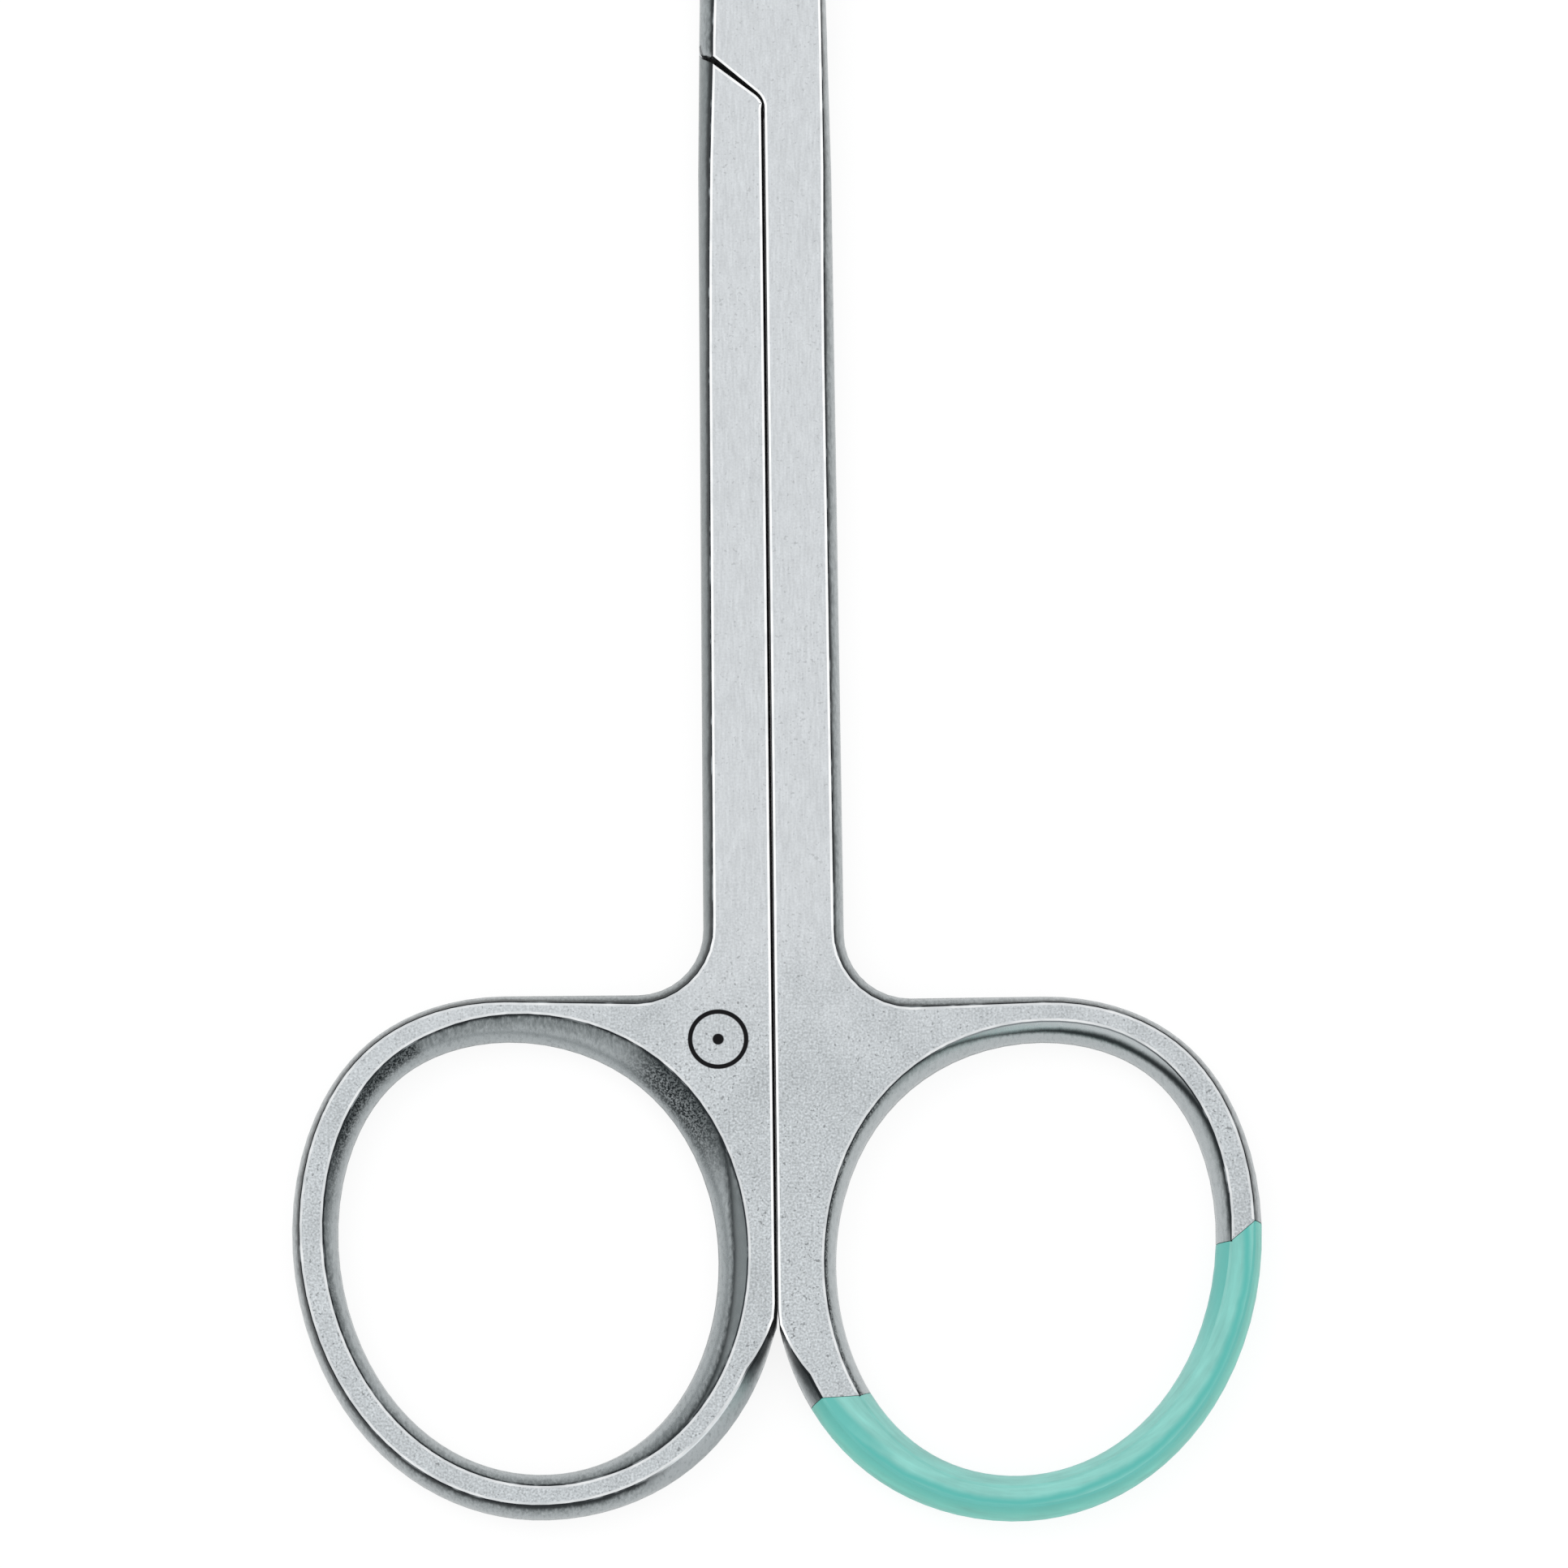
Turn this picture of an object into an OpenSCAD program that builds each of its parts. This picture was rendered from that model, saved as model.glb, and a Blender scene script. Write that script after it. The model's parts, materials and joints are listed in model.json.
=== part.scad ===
// Iris scissors, closed and lying flat: the blades point along +Y, the finger rings lie towards -Y.
// The two halves are one forging used twice: the lower half is the upper one turned over. Its two
// faces differ a little, as ground faces do, so the left and right sides seen from above differ too.
// The origin is on the surface that the scissors lie on, in the middle of their length.

/* [Joint and blades] */
// Distance from the pivot to the blade tips
blade_reach = 29.6; // [24:0.2:38]
// Thickness of the joint, the shanks and the rings
thick = 3; // [2.6:0.1:3.6]
// Width of the joint where the blades begin
joint_w = 6.5; // [6:0.1:8]
// Distance from the pivot to where the blades begin
heel_y = 4; // [3:0.5:6]
// Height of one blade's tip above the lap face
tip_thick = 0.55; // [0.3:0.05:0.9]
// Width of the closed blades at their tips
tip_w = 0.7; // [0.5:0.1:1.4]
// Length of the rounded end of a tip
tip_round = 0.4; // [0.2:0.1:1]
// How far a cutting edge lies inside the back of the other blade
edge_back = 0.4; // [0.2:0.05:0.8]
// How far a blade's outer face falls from its back to its cutting edge
face_drop = 0.6; // [0.2:0.1:0.8]
// Width of the bevel ground along a cutting edge
edge_grind = 0.8; // [0.4:0.1:1.2]
// Radius of the hollow ground into the inner face of a blade
hollow_r = 6; // [4:0.5:10]
// Depth of the hollow where it begins, next to the joint
hollow_depth = 0.14; // [0.05:0.01:0.2]
// Clearance between the two lap faces
lap_gap = 0.04; // [0.02:0.01:0.1]

/* [Shoulder] */
// Distance from the pivot down to the shoulder at the outer edge
shoulder_out = 6.05; // [5.5:0.05:7.5]
// Distance from the pivot down to the shoulder at the centre line
shoulder_in = 8.75; // [8:0.05:11]
// Radius of both bends of the shoulder
shoulder_r = 1.15; // [0.6:0.05:1.6]
// Gap along the shoulder
shoulder_gap = 0.1; // [0.08:0.01:0.3]

/* [Shanks] */
// Gap between the two shanks when closed
seam = 0.08; // [0.06:0.01:0.24]
// How far the walls of the seam lean at the faces, so that no light passes straight through
seam_lean = 0.065; // [0:0.005:0.1]
// Width of both shanks together just below the shoulder
shank_top_w = 7.12; // [6.6:0.02:8.4]
// Distance from the pivot down to where that width is reached
shank_top_y = 12.5; // [11.5:0.5:16]
// Width of both shanks together where they spread into the rings
shank_low_w = 7.44; // [6.6:0.02:9]
// Radius of the hollow curve between a shank and its ring
fillet_r = 3.5; // [2:0.1:5]
// Width of the rounded sides of the shanks, seen from above
shank_side = 0.5; // [0.2:0.05:0.7]
// Width of the rounded side where the hollow curve runs out onto the ring
fillet_side = 0.72; // [0.4:0.02:0.8]
// How much wider the shanks' rounded sides are at the left of the joint, and narrower at its right
joint_lean = 0.24; // [0:0.02:0.3]
// Width of the broken edges along the seam and the shoulder
seam_side = 0.02; // [0.02:0.01:0.15]

/* [Finger rings] */
// Distance from the pivot down to the middle of the rings
ring_down = 71.3; // [60:0.1:80]
// How far the right ring lies below that, and the left ring above it
ring_offset = 0.17; // [0:0.01:0.3]
// Distance from the centre line out to the middle of a ring
ring_out = 13.16; // [12.8:0.02:14.5]
// Mean radius of a finger hole
hole_r = 10.9; // [9.5:0.01:11]
// How much longer than that the long half-axis of the hole is
hole_stretch = 0.88; // [0:0.02:1]
// Direction of the long axis, from the line across both rings
hole_lean = 76; // [60:1:110]
// How far the hole bulges to one side, like an egg
hole_egg = 0.12; // [0:0.02:0.2]
// Direction of that bulge
egg_lean = 36; // [0:1:120]
// How far the hole is squared off
hole_square = 0.1; // [0:0.02:0.2]
// Width of a ring's rim, seen from above
rim_w = 2.42; // [1.8:0.02:3]
// How much wider the rim is at its upper outer corner
rim_corner = 0.12; // [0:0.01:0.5]
// Direction of that corner from the ring's middle
corner_a = 52; // [40:1:70]
// How far the two rims would overlap if they weren't flattened against each other
rim_press = 0.3; // [0.15:0.05:0.5]
// Mean width of a ring's rounded side towards the hole, seen from above
hole_side = 0.92; // [0.6:0.02:1.1]
// How much wider than that it is on the side of the ring towards the blades
hole_swing = 0.12; // [0:0.01:0.2]
// How much wider it is next to the seam on the left ring, and narrower on the right ring
hole_side_lean = 0.5; // [0:0.05:0.6]
// Mean width of a ring's rounded side outside, seen from above
rim_side = 0.54; // [0.3:0.02:0.7]
// How much narrower both are on the far side of the ring, and wider next to the seam
far_swing = 0.15; // [0:0.01:0.2]

/* [Colour coat] */
// Thickness of the coat on the right ring
coat_thick = 0.15; // [0.1:0.01:0.25]
// Clearance between the coat and the step it lies in
coat_gap = 0.03; // [0.02:0.01:0.05]
// Where the coat ends on the far side, at the outside of the ring
coat_top_out = 1; // [-20:1:30]
// Where the coat ends on the far side, at the hole
coat_top_in = -2.5; // [-25:0.5:25]
// Where the coat ends on the near side, at the outside of the ring
coat_low_out = -150; // [-160:0.5:-110]
// Where the coat ends on the near side, at the hole
coat_low_in = -149.5; // [-155:0.5:-105]

/* [Pivot screw] */
// Diameter of the screw's head
head_d = 4.4; // [3.6:0.1:4.8]
// Thickness of the head
head_h = 0.9; // [0.7:0.05:1.1]
// Depth of the seat for the head
seat_depth = 0.65; // [0.4:0.05:0.8]
// Width of the rounding round the top of the head
head_round = 0.3; // [0.1:0.05:0.4]
// Width of the screwdriver slot
slot_w = 0.6; // [0.4:0.05:0.8]
// Depth of the screwdriver slot
slot_depth = 0.5; // [0.3:0.05:0.6]
// Direction of the slot
slot_turn = 35; // [0:5:175]
// Diameter of the bearing that the upper half turns on
bearing_d = 2.8; // [2.6:0.1:3.4]
// Diameter of the threaded tail in the lower half
tail_d = 2.4; // [1.8:0.1:2.5]
// How far the tail stays back from the lower face
tail_back = 0.05; // [0.02:0.01:0.2]
// Radial clearance of the bearing and of the head in its seat
running_gap = 0.03; // [0.02:0.01:0.06]
// Radial clearance of the tail in its hole
thread_gap = 0.01; // [0.01:0.01:0.03]

/* [Hidden] */
steel = [0.8, 0.81, 0.82];
teal = [0.47, 0.78, 0.73];
mid = thick/2;
lap_face = mid + lap_gap/2;
// Room that a cutting solid takes past the surface it opens
past = 1;
// Height steps of a side wall, from the lower face at -1 to the upper face at 1
levels = [-1, -0.7, -0.35, 0, 0.35, 0.7, 1];
// Half the angle that the rounding of a side wall turns through
side_turn = 70;
bend_steps = 5;
fillet_steps = 9;
blade_steps = 14;
shank_steps = 8;
// Where the sides of the shanks begin to lean, going up to the joint
lean_from = -20;
// Direction, from a ring's middle, of the place where its side towards the hole leans most
lean_a = 160;

// A value's share of the way from one end to the other, held between 0 and 1
function share(v, from, to) = min(1, max(0, (v - from)/(to - from)));
function blend(from, to, s) = from + (to - from)*s;
function unit(a) = [cos(a), sin(a)];
function backwards(list) = [for (i = [len(list) - 1:-1:0]) list[i]];
function joined(lists) = [for (l = lists) for (v = l) v];

// An edge of the outline: a point, the direction into the steel, the widths of the rounded side
// there above and below, half the thickness there, and how keen it is, from 0 round to 1 sharp
function edge(point, inward, sides, half = mid, keen = 0) = [point, inward, sides, half, keen];
function both(width) = [width, width];
function leaning(width, lean) = [width + lean, width - lean];
// The same edge sunk into the steel on all sides
function sunk(e, depth) = [e[0] + depth*e[1], e[1], e[2], e[3] - depth, e[4]];
function side_inset(s, keen) = blend((1 - cos(side_turn*s))/(1 - cos(side_turn)), abs(s), keen);
// The points up the side wall at an edge
function wall(e) = [for (s = levels) let (
        side = s > 0 ? e[2][0] : e[2][1],
        p = e[0] + e[1]*side*side_inset(s, e[4])
    ) [p.x, p.y, mid + e[3]*s]];

// Finger hole and rim, as the distance of their tangents from the ring's middle, and its slope
function hole_reach(a) = hole_r + hole_stretch*cos(2*(a - hole_lean)) + hole_egg*cos(3*(a - egg_lean))
    - hole_square*cos(4*a);
function hole_slope(a) = -2*hole_stretch*sin(2*(a - hole_lean)) - 3*hole_egg*sin(3*(a - egg_lean))
    + 4*hole_square*sin(4*a);
// The rim is wider at its upper outer corner, and where it meets the other ring
rim_meet = ring_out - seam/2 + rim_press - hole_reach(180) - rim_w;
function rim_reach(a) = hole_reach(a) + rim_w + rim_corner*pow(max(0, cos(a - corner_a)), 4)
    + rim_meet*pow(max(0, -cos(a)), 2);
function rim_slope(a) = hole_slope(a) - 4*rim_corner*pow(max(0, cos(a - corner_a)), 3)*sin(a - corner_a)
    - (cos(a) < 0 ? rim_meet*sin(2*a) : 0);
function on_ring(reach, slope, a) = [ring_out, -ring_down] + reach*unit(a) + slope*[-sin(a), cos(a)];

function far_side(width, a) = width - far_swing*cos(a);
function hole_edge(a) = edge(on_ring(hole_reach(a), hole_slope(a), a), unit(a),
    leaning(far_side(hole_side, a) + hole_swing*sin(a), -hole_side_lean*max(0, cos(a - lean_a))));
function seam_sides(across) = leaning(seam_side, -seam_lean*across);
// The rim's outside, flattened at the seam, where its rounded side dies out
function rim_edge(a) = let (
        free = on_ring(rim_reach(a), rim_slope(a), a),
        clear = free.x - seam/2,
        side = far_side(rim_side, a)
    ) edge([max(free.x, seam/2), free.y], clear > 0 ? -unit(a) : [1, 0],
        blend(seam_sides(1), both(side), share(clear, 0, 1.5*side)));

handle_reach = ring_down + ring_offset + rim_reach(-90);
pivot_y = (handle_reach - blade_reach)/2;
ring_top_y = -ring_down + rim_reach(90);
throat_y = ring_top_y + fillet_r;

// Half the width of the joint and shanks at a height, and of the closed blades
function half_w(y) = y > -shank_top_y
    ? blend(shank_top_w, joint_w, (y + shank_top_y)/(heel_y + shank_top_y))/2
    : blend(shank_top_w, shank_low_w, share(y, -shank_top_y, throat_y))/2;
function along_blade(y) = share(y, heel_y, blade_reach);
function side_lean(y) = joint_lean*share(y, lean_from, -heel_y)*(1 - along_blade(y));
function tip_end(y) = sqrt(1 - pow(share(y, blade_reach - tip_round, blade_reach + tip_round/20), 2));
function blade_half(y) = blend(half_w(heel_y), tip_w/2, pow(along_blade(y), 1.2))*tip_end(y);

// The back of the upper blade, on the left, and its cutting edge, on the right
function blade_back(y) = let (
        u = along_blade(y),
        w = blade_half(y)
    ) edge([-w, y], [1, 0], leaning(min(blend(shank_side, 0.3, u), 0.6*w), side_lean(y)),
        blend(mid, tip_thick, u));
function blade_edge(y) = let (
        u = along_blade(y),
        start = share(y, heel_y, heel_y + 5),
        w = blade_half(y) - edge_back*start*(1 - u)
    ) edge([w, y], [-1, 0],
        leaning(min(blend(shank_side, edge_grind, start), 0.9*w), -side_lean(y)*(1 - start)),
        blend(mid, tip_thick, u) - face_drop*start*(1 - u), start);
function outer_side(y) = edge([half_w(y), y], [-1, 0], leaning(shank_side, -side_lean(y)));

// The shoulder: down the outer edge, round a bend, across, and round a bend into the centre line.
// The outer edge's rounded side keeps its line until the shoulder cuts it off.
function shoulder(out_x, in_x, shift) = let (
        out_y = -shoulder_out + shift,
        in_y = -shoulder_in + shift,
        turn = atan2(in_x - out_x, out_y - in_y),
        run = shoulder_r*tan(turn/2),
        out_middle = [out_x + shoulder_r, out_y + run],
        in_middle = [in_x - shoulder_r, in_y - run]
    ) concat(
        [for (i = [0:bend_steps]) let (
                n = unit(180 + turn*i/bend_steps),
                point = out_middle + shoulder_r*n,
                side = out_x + shank_side + side_lean(point.y) - point.x
            ) side > seam_side ? edge(point, [1, 0], both(side)) : edge(point, -n, both(seam_side))],
        [for (i = [0:bend_steps]) let (n = unit(turn*(1 - i/bend_steps)))
            edge(in_middle + shoulder_r*n, n, seam_sides(1 - n.y))]
    );
lobe = shoulder(-half_w(-shoulder_out), seam/2, shoulder_gap/2);

// The stem, from the tip of the blade down to the throat above the ring: left and right edges
tip_ys = [for (s = [0, 0.15, 0.4, 0.7]) blade_reach - tip_round*s];
blade_ys = [for (i = [0:blade_steps]) blend(blade_reach - tip_round, heel_y, i/blade_steps)];
joint_ys = [for (i = [1:3]) blend(heel_y, lobe[0][0].y, i/4)];
shank_ys = [for (i = [0:shank_steps]) blend(-shank_top_y, throat_y, i/shank_steps)];
stem_left = concat(
    [for (y = concat(tip_ys, blade_ys)) blade_back(y)],
    [for (y = joint_ys) edge([-half_w(y), y], [1, 0], leaning(shank_side, side_lean(y)))],
    lobe,
    [for (y = shank_ys) edge([seam/2, y], [1, 0], seam_sides(1))]
);
stem_right = [for (e = stem_left) e[0].y < heel_y ? outer_side(e[0].y) : blade_edge(e[0].y)];

// The ring: pairs of an edge outside and an edge at the hole, clockwise from the throat.
// The hole's edge at throat_a is where the stem's flat face meets the ring's.
throat_a = 165;
fillet_a = 120;
seam_y = rim_edge(-180)[0].y;
function fillet_edge(s) = let (n = unit(blend(180, 270, s)))
    edge([shank_low_w/2 + fillet_r, throat_y] + fillet_r*n, n,
        both(blend(shank_side, fillet_side, s)));
function ring_run(out_from, out_to, in_from, in_to, steps, first = 0) =
    [for (i = [first:steps]) [rim_edge(blend(out_from, out_to, i/steps)),
        hole_edge(blend(in_from, in_to, i/steps))]];
function sunk_pairs(pairs, depth) = [for (p = pairs) [sunk(p[0], depth), sunk(p[1], depth)]];
coat_steps = 36;
coated = ring_run(coat_top_out, coat_low_out, coat_top_in, coat_low_in, coat_steps);
function ring_pairs(seat) = concat(
    [for (i = [0:fillet_steps]) let (s = i/fillet_steps)
        [fillet_edge(s), hole_edge(blend(throat_a, fillet_a, s))]],
    [for (s = [1/6:1/6:0.9]) [
        edge(blend(fillet_edge(1)[0], rim_edge(90)[0], s), [0, -1],
            both(blend(fillet_side, rim_side, s))),
        hole_edge(blend(fillet_a, 90, s))]],
    ring_run(90, coat_top_out, 90, coat_top_in, 20),
    seat > 0 ? sunk_pairs(coated, seat) : ring_run(coat_top_out, coat_low_out, coat_top_in,
        coat_low_in, coat_steps, 1),
    ring_run(coat_low_out, -180, coat_low_in, -180, 10, seat > 0 ? 0 : 1),
    [for (i = [1:shank_steps]) let (s = i/shank_steps)
        [edge([seam/2, blend(seam_y, throat_y, s)], [1, 0], seam_sides(1)),
            hole_edge(blend(-180, throat_a - 360, s))]]
);

function quad(a, b, c, d) = [[a, b, c], [a, c, d]];
// Faces between two neighbouring walls of points, and the strip across between four of them
function wall_faces(a, b, n) = joined([for (k = [0:n - 2]) quad(a*n + k, b*n + k, b*n + k + 1, a*n + k + 1)]);
function flats(a, b, c, d, n) = concat(quad(a*n + n - 1, b*n + n - 1, c*n + n - 1, d*n + n - 1),
    quad(d*n, c*n, b*n, a*n));

// The ring of a half set lower by this much, which the shank takes up along its length
function settled(p, drop) = [p.x, p.y - drop*share(p.y, -shank_top_y, throat_y), p.z];

// One forged half before its joint is cut, in the place of the upper half, with the pivot at x = y = 0
module blank(seat, drop) {
    ring = ring_pairs(seat);
    stem_n = len(stem_left);
    ring_n = len(ring) - 1;
    outside = concat(stem_right, [for (i = [1:ring_n - 1]) ring[i][0]], backwards(stem_left));
    outside_n = len(outside);
    hole = [for (i = [0:ring_n - 1]) ring[i][1]];
    n = len(levels);
    function rim_i(j) = stem_n - 1 + j;
    function hole_i(j) = outside_n + j%ring_n;
    function stem_i(i) = outside_n - 1 - i;
    throat = [stem_i(stem_n - 1)*n, (stem_n - 1)*n, hole_i(0)*n];
    polyhedron(
        points = [for (e = concat(outside, hole)) for (p = wall(e)) settled(p, drop)],
        faces = concat(
            joined([for (i = [0:outside_n - 1]) wall_faces(i, (i + 1)%outside_n, n)]),
            joined([for (j = [0:ring_n - 1]) wall_faces(hole_i(j + 1), hole_i(j), n)]),
            joined([for (i = [0:stem_n - 2]) flats(stem_i(i), i, i + 1, stem_i(i + 1), n)]),
            joined([for (j = [0:ring_n - 1]) flats(hole_i(j), rim_i(j), rim_i(j + 1), hole_i(j + 1), n)]),
            [[for (i = throat) i + n - 1], backwards(throat)]
        ),
        convexity = 10
    );
}

// What is cut from under a half's lap face, down to the other half's shoulder
module lap_relief() {
    step = shoulder(-half_w(-shoulder_out) - shoulder_gap/2, 0, -shoulder_gap/2);
    edge_xy = [for (e = step) [-e[0].x, e[0].y]];
    side = joint_w;
    translate([0, 0, -past])
    linear_extrude(lap_face + past)
    polygon(concat(
        [[edge_xy[0].x, blade_reach + past]],
        edge_xy,
        [[0, -shank_top_y], [-side, -shank_top_y], [-side, blade_reach + past]]
    ));
}

// The hollow ground into a blade's inner face, which runs out towards the tip
module hollow() {
    start = heel_y + 4;
    tilt = atan(hollow_depth/(blade_reach - start));
    translate([-edge_back/2, start, lap_face + hollow_depth - hollow_r])
    rotate([-90 - tilt, 0, 0])
    cylinder(h = blade_reach - start, r = hollow_r, $fn = 96);
}

module half(seat, drop) {
    difference() {
        blank(seat, drop);
        lap_relief();
        hollow();
    }
}

module upright_bore(d, from, to) {
    translate([0, 0, from])
    cylinder(h = to - from, d = d, $fn = 64);
}

module upper_half() {
    color(steel)
    translate([0, pivot_y, 0])
    difference() {
        half(coat_thick + coat_gap, ring_offset);
        upright_bore(bearing_d + 2*running_gap, mid, thick + past);
        upright_bore(head_d + 2*running_gap, thick - seat_depth, thick + past);
    }
}

module lower_half() {
    color(steel)
    translate([0, pivot_y, 0])
    difference() {
        translate([0, 0, thick])
        rotate([0, 180, 0])
        half(0, -ring_offset);
        upright_bore(tail_d + 2*thread_gap, -past, thick);
    }
}

// Slotted head, bearing and threaded tail, turned in one piece
module pivot_screw() {
    head_under = thick - seat_depth + running_gap;
    head_top = head_under + head_h;
    bearing_end = mid - lap_gap/2;
    rim = head_d/2 - head_round;
    color(steel)
    translate([0, pivot_y, 0])
    difference() {
        rotate_extrude($fn = 64)
        polygon(concat(
            [[0, tail_back], [tail_d/2, tail_back], [tail_d/2, bearing_end], [bearing_d/2, bearing_end]],
            [[bearing_d/2, head_under], [head_d/2, head_under]],
            [for (i = [0:4]) [rim, head_top - head_round] + head_round*unit(90*i/4)],
            [[0, head_top]]
        ));
        translate([0, 0, head_top - slot_depth])
        rotate([0, 0, slot_turn])
        translate([-head_d, -slot_w/2, 0])
        cube([2*head_d, slot_w, slot_depth + past]);
    }
}

// The coat round the right ring, level with the steel on both sides of it
module ring_coat() {
    // The ends stand back by the clearance, turned into an angle at the rim
    back = coat_gap/rim_reach(0)*180/PI;
    pairs = ring_run(coat_top_out - back, coat_low_out + back, coat_top_in - back, coat_low_in + back,
        coat_steps);
    function section(p) = concat(wall(p[0]), backwards(wall(p[1])));
    n = 2*len(levels);
    // Each station has its outer skin's points first, then its inner skin's
    function skin(j, inner, k) = (2*j + inner)*n + k%n;
    color(teal)
    translate([0, pivot_y - ring_offset, 0])
    polyhedron(
        points = joined([for (p = pairs) concat(section(p), section(sunk_pairs([p], coat_thick)[0]))]),
        faces = concat(
            joined([for (j = [0:coat_steps - 1]) for (k = [0:n - 1])
                quad(skin(j, 0, k), skin(j + 1, 0, k), skin(j + 1, 0, k + 1), skin(j, 0, k + 1))]),
            joined([for (j = [0:coat_steps - 1]) for (k = [0:n - 1])
                quad(skin(j, 1, k), skin(j, 1, k + 1), skin(j + 1, 1, k + 1), skin(j + 1, 1, k))]),
            joined([for (k = [0:n - 1])
                quad(skin(0, 0, k), skin(0, 0, k + 1), skin(0, 1, k + 1), skin(0, 1, k))]),
            joined([for (k = [0:n - 1])
                quad(skin(coat_steps, 0, k), skin(coat_steps, 1, k), skin(coat_steps, 1, k + 1),
                    skin(coat_steps, 0, k + 1))])
        ),
        convexity = 10
    );
}

lower_half();
upper_half();
pivot_screw();
ring_coat();
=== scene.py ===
# Iris scissors: two forged halves of satin steel on a slotted screw, with a teal coat on one ring
import json
import math
import bmesh
import bpy
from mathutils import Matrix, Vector


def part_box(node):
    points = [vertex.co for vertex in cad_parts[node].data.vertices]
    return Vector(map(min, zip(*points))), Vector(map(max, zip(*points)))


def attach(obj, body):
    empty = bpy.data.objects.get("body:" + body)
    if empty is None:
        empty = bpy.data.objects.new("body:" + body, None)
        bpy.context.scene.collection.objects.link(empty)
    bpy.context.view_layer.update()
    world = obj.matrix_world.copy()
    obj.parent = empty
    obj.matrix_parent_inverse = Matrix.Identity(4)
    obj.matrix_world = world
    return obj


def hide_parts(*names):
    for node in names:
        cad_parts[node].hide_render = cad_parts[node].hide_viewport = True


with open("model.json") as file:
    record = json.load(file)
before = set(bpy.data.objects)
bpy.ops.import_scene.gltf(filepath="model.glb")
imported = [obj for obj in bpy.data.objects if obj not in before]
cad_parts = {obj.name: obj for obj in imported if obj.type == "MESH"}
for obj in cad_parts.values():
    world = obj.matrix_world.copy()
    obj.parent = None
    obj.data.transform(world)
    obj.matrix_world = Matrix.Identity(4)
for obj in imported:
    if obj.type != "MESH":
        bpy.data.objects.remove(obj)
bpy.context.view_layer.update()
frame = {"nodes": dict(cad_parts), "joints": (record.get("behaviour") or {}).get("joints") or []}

mm = 0.001
pivot = Vector(frame["joints"][0]["pos_m"])
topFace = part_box("upper_half")[1][2]  # upper face of the shanks and rings
midHeight = topFace/2


# A socket of a material. Python's operators on it add Math nodes, and node() adds any other.
class Wire:
    def __init__(self, tree, socket=None):
        self.tree = tree
        self.socket = socket

    def node(self, kind, settings, values, output=0):
        made = self.tree.nodes.new(kind)
        for key, value in settings.items():
            setattr(made, key, value)
        for key, value in values.items():
            if isinstance(value, Wire):
                self.tree.links.new(value.socket, made.inputs[key])
            else:
                made.inputs[key].default_value = value
        return Wire(self.tree, made.outputs[output] if made.outputs else None)

    def maths(self, operation, *values):
        return self.node("ShaderNodeMath", {"operation": operation}, dict(enumerate(values)))

    def __add__(self, other):
        return self.maths("ADD", self, other)

    def __sub__(self, other):
        return self.maths("SUBTRACT", self, other)

    def __rsub__(self, other):
        return self.maths("SUBTRACT", other, self)

    def __mul__(self, other):
        return self.maths("MULTIPLY", self, other)

    def __truediv__(self, other):
        return self.maths("DIVIDE", self, other)

    def __abs__(self):
        return self.maths("ABSOLUTE", self)

    __radd__ = __add__
    __rmul__ = __mul__

    def larger(self, other):
        return self.maths("MAXIMUM", self, other)

    # X, Y or Z of a vector, by its number
    def part(self, number):
        return self.node("ShaderNodeSeparateXYZ", {}, {0: self}, number)

    # 0 below low, 1 above high, and a smooth rise between
    def rise(self, low, high):
        return self.node("ShaderNodeMapRange", {"interpolation_type": "SMOOTHSTEP"},
            {"Value": self, "From Min": low, "From Max": high})

    # 1 at the middle, falling smoothly to 0 at that distance from it
    def bump(self, middle, reach):
        return 1 - abs(self - middle).rise(0, reach)

    # self is the share of the second colour
    def mix(self, first, second):
        return self.node("ShaderNodeMix", {"data_type": "RGBA"}, {0: self, 6: first, 7: second}, 2)


def rgb(colour, times=1):
    return tuple(c*times for c in colour) + (1,)


def newFinish(name):
    material = bpy.data.materials.new(name)
    material.use_nodes = True
    material.node_tree.nodes.clear()
    start = Wire(material.node_tree)
    return material, start, start.node("ShaderNodeTexCoord", {}, {}, "Object")


def surface(start, values):
    shader = start.node("ShaderNodeBsdfPrincipled", {}, values)
    start.node("ShaderNodeOutputMaterial", {}, {"Surface": shader})


# Noise whose spots have these sizes in mm along X, Y and Z
def spots(place, sizes, detail=2.0, rough=0.5):
    scaled = place.node("ShaderNodeMapping", {}, {"Vector": place, "Scale": [1/(s*mm) for s in sizes]})
    return place.node("ShaderNodeTexNoise", {}, {"Vector": scaled, "Scale": 1.0, "Detail": detail,
        "Roughness": rough})


# Degrees round a ring's middle: 0 on its far side, 90 towards the blades, 180 at the seam.
# They run from first to first + 360.
def ringDirection(place, middle, first=0):
    side = 1 if middle[0] > 0 else -1
    across = (place.part(0) - middle[0]*mm)*side
    degrees = place.maths("ARCTAN2", place.part(1) - middle[1]*mm, across)*(180/math.pi)
    return place.maths("WRAP", degrees, first + 360, first)


# 1 between the second and third values, 0 outside the first and last
def stretch(wire, begin, full, fade, end):
    return wire.rise(begin, full)*(1 - wire.rise(fade, end))


# Camera
photoView = {
    "aim": (0.645, -18.18, 3.0),  # point in the middle of the frame, mm
    "frameWidth": 83.08,  # mm across the frame at that point
    "tilt": 11.8,  # degrees off straight down, from the rings' side
    "lean": 0.66,  # degrees that the scissors lean to the left
    "distance": 800,  # mm
    "sensor": 36,  # mm
}


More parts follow.
